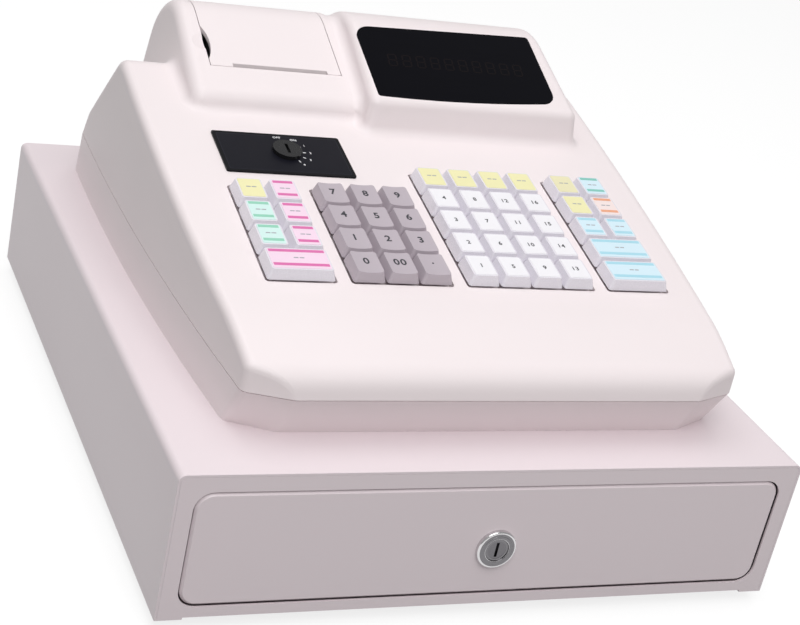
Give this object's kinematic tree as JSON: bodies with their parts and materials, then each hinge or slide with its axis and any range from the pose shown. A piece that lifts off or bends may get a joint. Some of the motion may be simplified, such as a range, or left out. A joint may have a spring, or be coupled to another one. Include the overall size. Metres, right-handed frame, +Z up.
{
  "type": "electronic cash register with cash drawer",
  "caption": "Wedge-shaped electronic cash register with colour-coded keys, a raised display and printer housing and a key switch, standing on a wide steel cash drawer.",
  "frame": {"origin": "on the counter, under the middle of the overall box", "axes": "+X to the operator's right, +Y from the drawer front to the back, +Z up"},
  "size_m": [0.35, 0.4074, 0.2227],
  "materials": {
    "cabinet_paint": "smooth low-gloss off-white paint on folded steel",
    "drawer_paint": "smooth low-gloss off-white paint",
    "case_plastic": "fine grained warm off-white moulding",
    "key_cap": "smooth white caps",
    "number_key_cap": "smooth taupe grey caps",
    "window_plastic": "polished dark window",
    "mode_plate": "dark printed plate",
    "switch_black": "black key switch",
    "chrome": "polished plated rim",
    "lock_steel": "satin steel plug",
    "bare_steel": "zinc plated steel",
    "tray_steel": "grey painted steel",
    "till_plastic": "black grained moulding",
    "rubber": "soft black rubber",
    "board": "green circuit board",
    "module_black": "dark module",
    "dark_plastic": "dark moulded frame",
    "paper": "smooth till roll paper",
    "transformer": "laminated core",
    "label_white": "printed label",
    "label_yellow": "printed label",
    "label_magenta": "printed label",
    "label_green": "printed label",
    "label_tan": "printed label",
    "label_teal": "printed label",
    "label_orange": "printed label",
    "label_blue": "printed label",
    "label_clear": "clear cap",
    "print_dark": "printed marks",
    "print_light": "printed marks",
    "gap_dark": "shadow line"
  },
  "bodies": {
    "register": {"cabinet_cover": "cabinet_paint", "cabinet_chassis": "cabinet_paint", "rubber_feet": "rubber", "pan_head_screws": "bare_steel", "drawer_rails": "bare_steel", "latch_solenoid": "bare_steel", "base_case": "case_plastic", "top_case": "case_plastic", "printer_frame": "dark_plastic", "display_window": "window_plastic", "display_module": "module_black", "mode_plate": "mode_plate", "keyboard_board": "board", "main_board": "board", "power_supply": "transformer"},
    "drawer": {"drawer_tray": "tray_steel", "drawer_front_panel": "drawer_paint", "till_insert": "till_plastic", "lock_barrel": "chrome"},
    "bill_clip_1": {"bill_clip_1": "till_plastic"},
    "bill_clip_2": {"bill_clip_2": "till_plastic"},
    "bill_clip_3": {"bill_clip_3": "till_plastic"},
    "lock_plug": {"lock_plug": "lock_steel"},
    "latch_lever": {"latch_lever": "bare_steel"},
    "solenoid_plunger": {"solenoid_plunger": "bare_steel"},
    "printer_cover": {"printer_cover": "case_plastic"},
    "platen_roller": {"platen_roller": "rubber"},
    "paper_roll": {"paper_roll": "paper"},
    "mode_rotor": {"mode_rotor": "switch_black"},
    "number_key_7": {"number_key_7": "number_key_cap"},
    "number_key_8": {"number_key_8": "number_key_cap"},
    "number_key_9": {"number_key_9": "number_key_cap"},
    "number_key_4": {"number_key_4": "number_key_cap"},
    "number_key_5": {"number_key_5": "number_key_cap"},
    "number_key_6": {"number_key_6": "number_key_cap"},
    "number_key_1": {"number_key_1": "number_key_cap"},
    "number_key_2": {"number_key_2": "number_key_cap"},
    "number_key_3": {"number_key_3": "number_key_cap"},
    "number_key_0": {"number_key_0": "number_key_cap"},
    "number_key_00": {"number_key_00": "number_key_cap"},
    "number_key_dot": {"number_key_dot": "number_key_cap"},
    "left_key_1": {"left_key_1": "key_cap"},
    "left_key_2": {"left_key_2": "key_cap"},
    "left_key_3": {"left_key_3": "key_cap"},
    "left_key_4": {"left_key_4": "key_cap"},
    "left_key_5": {"left_key_5": "key_cap"},
    "left_key_6": {"left_key_6": "key_cap"},
    "left_key_7": {"left_key_7": "key_cap"},
    "right_key_1": {"right_key_1": "key_cap"},
    "right_key_2": {"right_key_2": "key_cap"},
    "right_key_3": {"right_key_3": "key_cap"},
    "right_key_4": {"right_key_4": "key_cap"},
    "right_key_5": {"right_key_5": "key_cap"},
    "right_key_6": {"right_key_6": "key_cap"},
    "right_key_7": {"right_key_7": "key_cap"},
    "right_key_8": {"right_key_8": "key_cap"},
    "department_keys_1": {"department_keys_1": "key_cap"},
    "department_keys_2": {"department_keys_2": "key_cap"},
    "department_keys_3": {"department_keys_3": "key_cap"},
    "department_keys_4": {"department_keys_4": "key_cap"}
  },
  "joints": [
    {"name": "drawer_slide", "type": "slide", "parent": "register", "child": "drawer", "axis": [0, -1, 0], "range_m": [0, 0.24]},
    {"name": "bill_clip_1_hinge", "type": "hinge", "parent": "drawer", "child": "bill_clip_1", "pos_m": [-0.1018, 0.10135, 0.056], "axis": [-1, 0, 0], "range_deg": [0, 28], "stiffness_Nm_per_rad": 0.02, "springref_deg": -22.92},
    {"name": "bill_clip_2_hinge", "type": "hinge", "parent": "drawer", "child": "bill_clip_2", "pos_m": [0, 0.10135, 0.056], "axis": [-1, 0, 0], "range_deg": [0, 28], "stiffness_Nm_per_rad": 0.02, "springref_deg": -22.92},
    {"name": "bill_clip_3_hinge", "type": "hinge", "parent": "drawer", "child": "bill_clip_3", "pos_m": [0.1018, 0.10135, 0.056], "axis": [-1, 0, 0], "range_deg": [0, 28], "stiffness_Nm_per_rad": 0.02, "springref_deg": -22.92},
    {"name": "lock_turn", "type": "hinge", "parent": "drawer", "child": "lock_plug", "pos_m": [0, -0.20125, 0.0435], "axis": [0, 1, 0], "range_deg": [0, 90]},
    {"name": "latch_lever_hinge", "type": "hinge", "parent": "register", "child": "latch_lever", "pos_m": [-0.014, 0.15975, 0.02], "axis": [0, 0, 1], "range_deg": [0, 20]},
    {"name": "solenoid_plunger_slide", "type": "slide", "parent": "register", "child": "solenoid_plunger", "axis": [-1, 0, 0], "range_m": [0, 0.0053]},
    {"name": "printer_cover_hinge", "type": "hinge", "parent": "register", "child": "printer_cover", "pos_m": [-0.0617, 0.13295, 0.21237], "axis": [-1, 0, 0], "range_deg": [0, 75]},
    {"name": "platen_turn", "type": "hinge", "parent": "register", "child": "platen_roller", "pos_m": [-0.0592, 0.06235, 0.1802], "axis": [1, 0, 0], "continuous": true},
    {"name": "paper_roll_turn", "type": "hinge", "parent": "register", "child": "paper_roll", "pos_m": [-0.0592, 0.10535, 0.1782], "axis": [1, 0, 0], "continuous": true},
    {"name": "mode_rotor_turn", "type": "hinge", "parent": "register", "child": "mode_rotor", "pos_m": [-0.0712, 0.00691, 0.17074], "axis": [0, 0.1994, -0.9799], "range_deg": [0, 150]},
    {"name": "number_key_7_press", "type": "slide", "parent": "register", "child": "number_key_7", "axis": [0, 0.1994, -0.9799], "range_m": [0, 0.003], "stiffness_N_per_m": 150, "springref_m": -0.001},
    {"name": "number_key_8_press", "type": "slide", "parent": "register", "child": "number_key_8", "axis": [0, 0.1994, -0.9799], "range_m": [0, 0.003], "stiffness_N_per_m": 150, "springref_m": -0.001},
    {"name": "number_key_9_press", "type": "slide", "parent": "register", "child": "number_key_9", "axis": [0, 0.1994, -0.9799], "range_m": [0, 0.003], "stiffness_N_per_m": 150, "springref_m": -0.001},
    {"name": "number_key_4_press", "type": "slide", "parent": "register", "child": "number_key_4", "axis": [0, 0.1994, -0.9799], "range_m": [0, 0.003], "stiffness_N_per_m": 150, "springref_m": -0.001},
    {"name": "number_key_5_press", "type": "slide", "parent": "register", "child": "number_key_5", "axis": [0, 0.1994, -0.9799], "range_m": [0, 0.003], "stiffness_N_per_m": 150, "springref_m": -0.001},
    {"name": "number_key_6_press", "type": "slide", "parent": "register", "child": "number_key_6", "axis": [0, 0.1994, -0.9799], "range_m": [0, 0.003], "stiffness_N_per_m": 150, "springref_m": -0.001},
    {"name": "number_key_1_press", "type": "slide", "parent": "register", "child": "number_key_1", "axis": [0, 0.1994, -0.9799], "range_m": [0, 0.003], "stiffness_N_per_m": 150, "springref_m": -0.001},
    {"name": "number_key_2_press", "type": "slide", "parent": "register", "child": "number_key_2", "axis": [0, 0.1994, -0.9799], "range_m": [0, 0.003], "stiffness_N_per_m": 150, "springref_m": -0.001},
    {"name": "number_key_3_press", "type": "slide", "parent": "register", "child": "number_key_3", "axis": [0, 0.1994, -0.9799], "range_m": [0, 0.003], "stiffness_N_per_m": 150, "springref_m": -0.001},
    {"name": "number_key_0_press", "type": "slide", "parent": "register", "child": "number_key_0", "axis": [0, 0.1994, -0.9799], "range_m": [0, 0.003], "stiffness_N_per_m": 150, "springref_m": -0.001},
    {"name": "number_key_00_press", "type": "slide", "parent": "register", "child": "number_key_00", "axis": [0, 0.1994, -0.9799], "range_m": [0, 0.003], "stiffness_N_per_m": 150, "springref_m": -0.001},
    {"name": "number_key_dot_press", "type": "slide", "parent": "register", "child": "number_key_dot", "axis": [0, 0.1994, -0.9799], "range_m": [0, 0.003], "stiffness_N_per_m": 150, "springref_m": -0.001},
    {"name": "left_key_1_press", "type": "slide", "parent": "register", "child": "left_key_1", "axis": [0, 0.1994, -0.9799], "range_m": [0, 0.003], "stiffness_N_per_m": 150, "springref_m": -0.001},
    {"name": "left_key_2_press", "type": "slide", "parent": "register", "child": "left_key_2", "axis": [0, 0.1994, -0.9799], "range_m": [0, 0.003], "stiffness_N_per_m": 150, "springref_m": -0.001},
    {"name": "left_key_3_press", "type": "slide", "parent": "register", "child": "left_key_3", "axis": [0, 0.1994, -0.9799], "range_m": [0, 0.003], "stiffness_N_per_m": 150, "springref_m": -0.001},
    {"name": "left_key_4_press", "type": "slide", "parent": "register", "child": "left_key_4", "axis": [0, 0.1994, -0.9799], "range_m": [0, 0.003], "stiffness_N_per_m": 150, "springref_m": -0.001},
    {"name": "left_key_5_press", "type": "slide", "parent": "register", "child": "left_key_5", "axis": [0, 0.1994, -0.9799], "range_m": [0, 0.003], "stiffness_N_per_m": 150, "springref_m": -0.001},
    {"name": "left_key_6_press", "type": "slide", "parent": "register", "child": "left_key_6", "axis": [0, 0.1994, -0.9799], "range_m": [0, 0.003], "stiffness_N_per_m": 150, "springref_m": -0.001},
    {"name": "left_key_7_press", "type": "slide", "parent": "register", "child": "left_key_7", "axis": [0, 0.1994, -0.9799], "range_m": [0, 0.003], "stiffness_N_per_m": 150, "springref_m": -0.001},
    {"name": "right_key_1_press", "type": "slide", "parent": "register", "child": "right_key_1", "axis": [0, 0.1994, -0.9799], "range_m": [0, 0.003], "stiffness_N_per_m": 150, "springref_m": -0.001},
    {"name": "right_key_2_press", "type": "slide", "parent": "register", "child": "right_key_2", "axis": [0, 0.1994, -0.9799], "range_m": [0, 0.003], "stiffness_N_per_m": 150, "springref_m": -0.001},
    {"name": "right_key_3_press", "type": "slide", "parent": "register", "child": "right_key_3", "axis": [0, 0.1994, -0.9799], "range_m": [0, 0.003], "stiffness_N_per_m": 150, "springref_m": -0.001},
    {"name": "right_key_4_press", "type": "slide", "parent": "register", "child": "right_key_4", "axis": [0, 0.1994, -0.9799], "range_m": [0, 0.003], "stiffness_N_per_m": 150, "springref_m": -0.001},
    {"name": "right_key_5_press", "type": "slide", "parent": "register", "child": "right_key_5", "axis": [0, 0.1994, -0.9799], "range_m": [0, 0.003], "stiffness_N_per_m": 150, "springref_m": -0.001},
    {"name": "right_key_6_press", "type": "slide", "parent": "register", "child": "right_key_6", "axis": [0, 0.1994, -0.9799], "range_m": [0, 0.003], "stiffness_N_per_m": 150, "springref_m": -0.001},
    {"name": "right_key_7_press", "type": "slide", "parent": "register", "child": "right_key_7", "axis": [0, 0.1994, -0.9799], "range_m": [0, 0.003], "stiffness_N_per_m": 150, "springref_m": -0.001},
    {"name": "right_key_8_press", "type": "slide", "parent": "register", "child": "right_key_8", "axis": [0, 0.1994, -0.9799], "range_m": [0, 0.003], "stiffness_N_per_m": 150, "springref_m": -0.001},
    {"name": "department_keys_1_press", "type": "slide", "parent": "register", "child": "department_keys_1", "axis": [0, 0.1994, -0.9799], "range_m": [0, 0.003], "stiffness_N_per_m": 750, "springref_m": -0.001},
    {"name": "department_keys_2_press", "type": "slide", "parent": "register", "child": "department_keys_2", "axis": [0, 0.1994, -0.9799], "range_m": [0, 0.003], "stiffness_N_per_m": 750, "springref_m": -0.001},
    {"name": "department_keys_3_press", "type": "slide", "parent": "register", "child": "department_keys_3", "axis": [0, 0.1994, -0.9799], "range_m": [0, 0.003], "stiffness_N_per_m": 750, "springref_m": -0.001},
    {"name": "department_keys_4_press", "type": "slide", "parent": "register", "child": "department_keys_4", "axis": [0, 0.1994, -0.9799], "range_m": [0, 0.003], "stiffness_N_per_m": 750, "springref_m": -0.001}
  ],
  "couplings": [
    {"joint": "solenoid_plunger_slide", "follows": "latch_lever_hinge", "m_per_rad": 0.014697}
  ]
}
